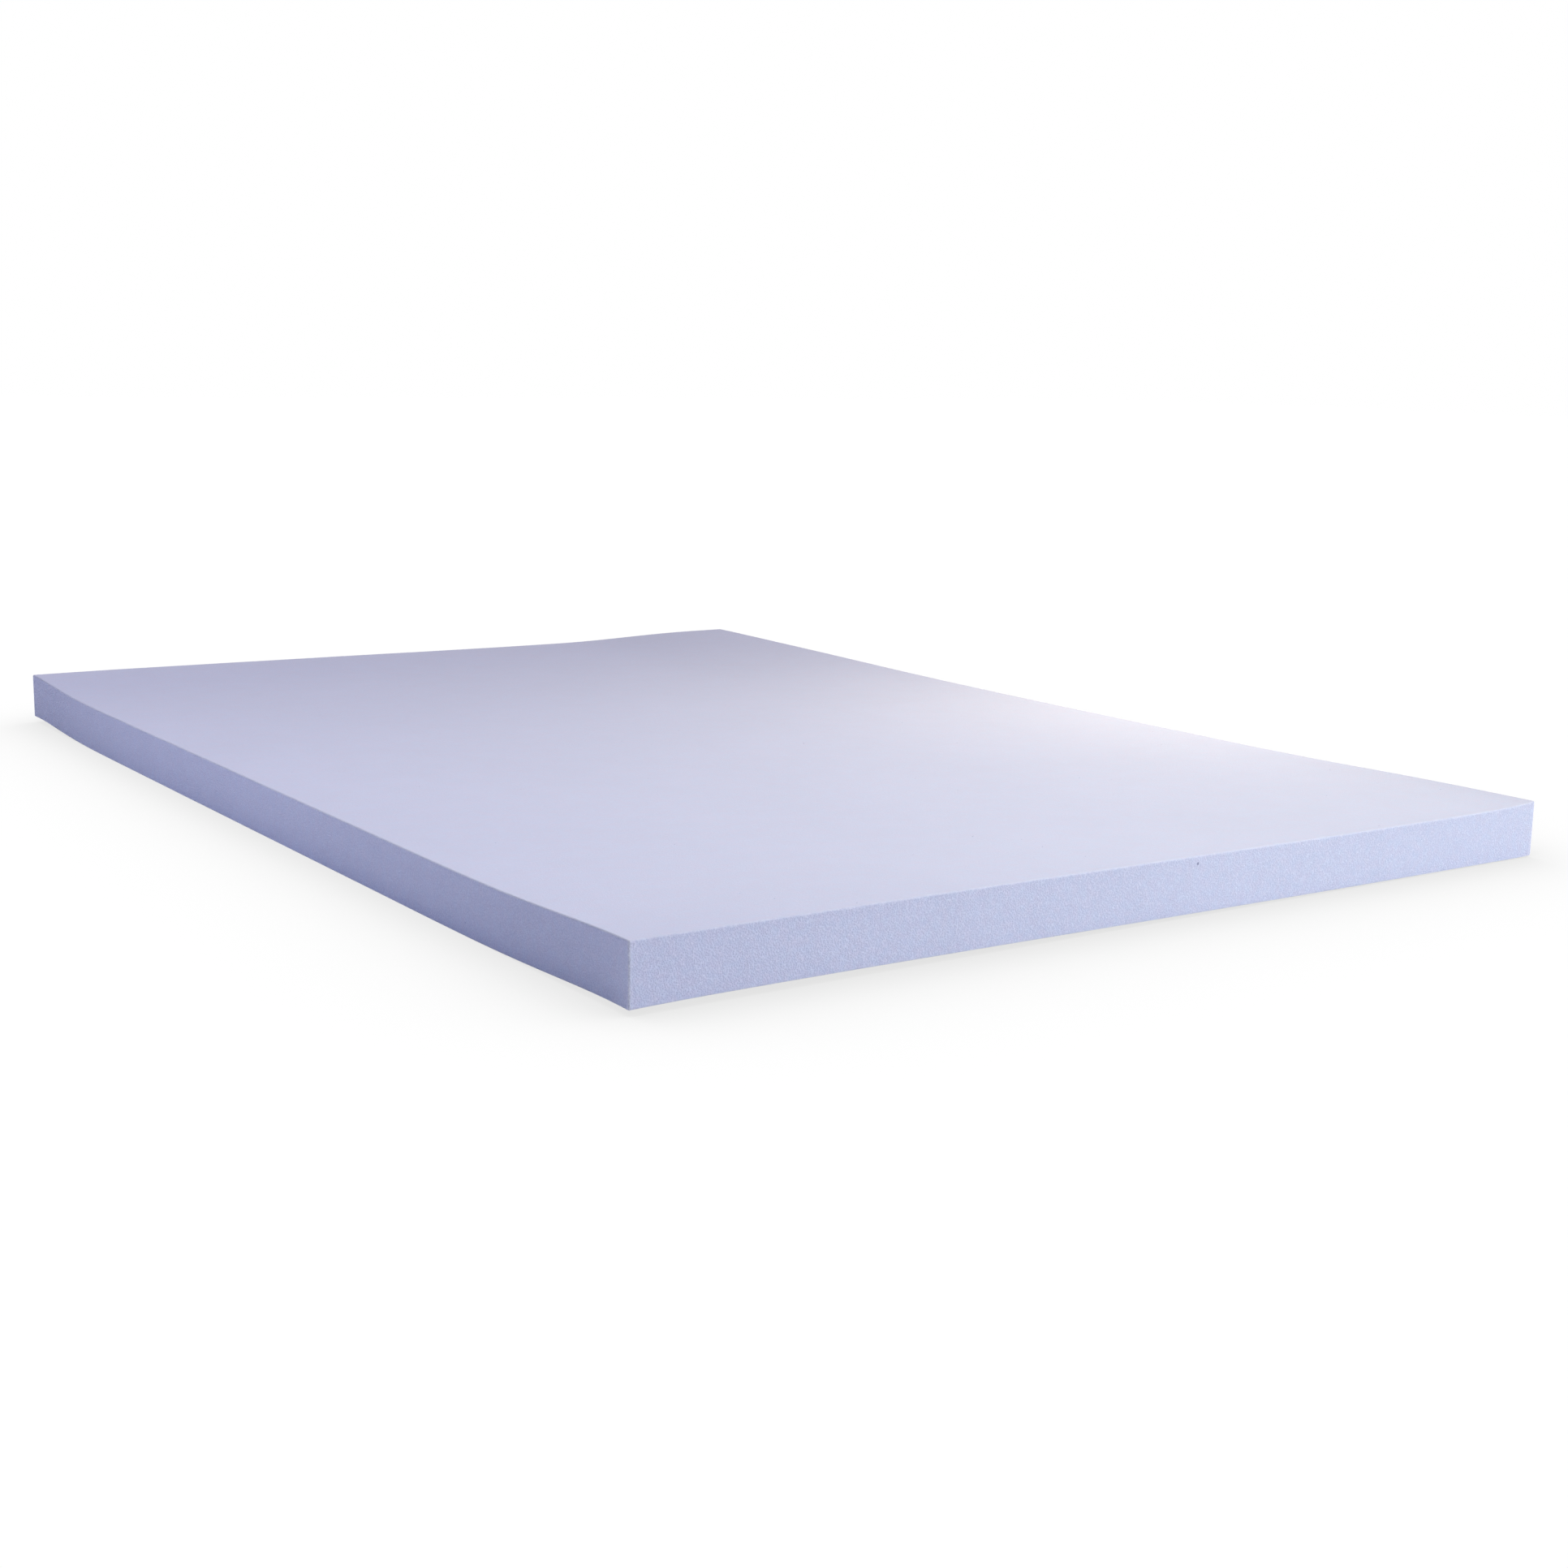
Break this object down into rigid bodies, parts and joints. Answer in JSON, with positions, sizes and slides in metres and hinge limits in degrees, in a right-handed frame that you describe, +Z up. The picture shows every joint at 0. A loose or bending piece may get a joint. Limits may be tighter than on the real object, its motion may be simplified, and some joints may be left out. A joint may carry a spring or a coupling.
{
  "type": "memory foam mattress",
  "caption": "Thin rectangular memory foam mattress: a slow-recovery comfort ply glued in lines to a firmer support ply, bare, with crisp cut edges.",
  "frame": {"origin": "middle of the underside, on the plane that the mattress lies on", "axes": "+X is the width, side to side; +Y is the length, head to foot; +Z is up, out of the sleeping face"},
  "size_m": [1.4, 2, 0.07],
  "materials": {
    "comfort_foam": "pale lavender open-cell polyurethane memory foam, cut and uncovered, matt",
    "support_foam": "pale lavender open-cell polyurethane support foam, cut and uncovered, matt",
    "adhesive": "dried water-based contact adhesive, cream, slightly tacky"
  },
  "bodies": {
    "root": {"support_layer": "support_foam", "glue_lines": "adhesive", "comfort_layer": "comfort_foam"}
  },
  "joints": []
}
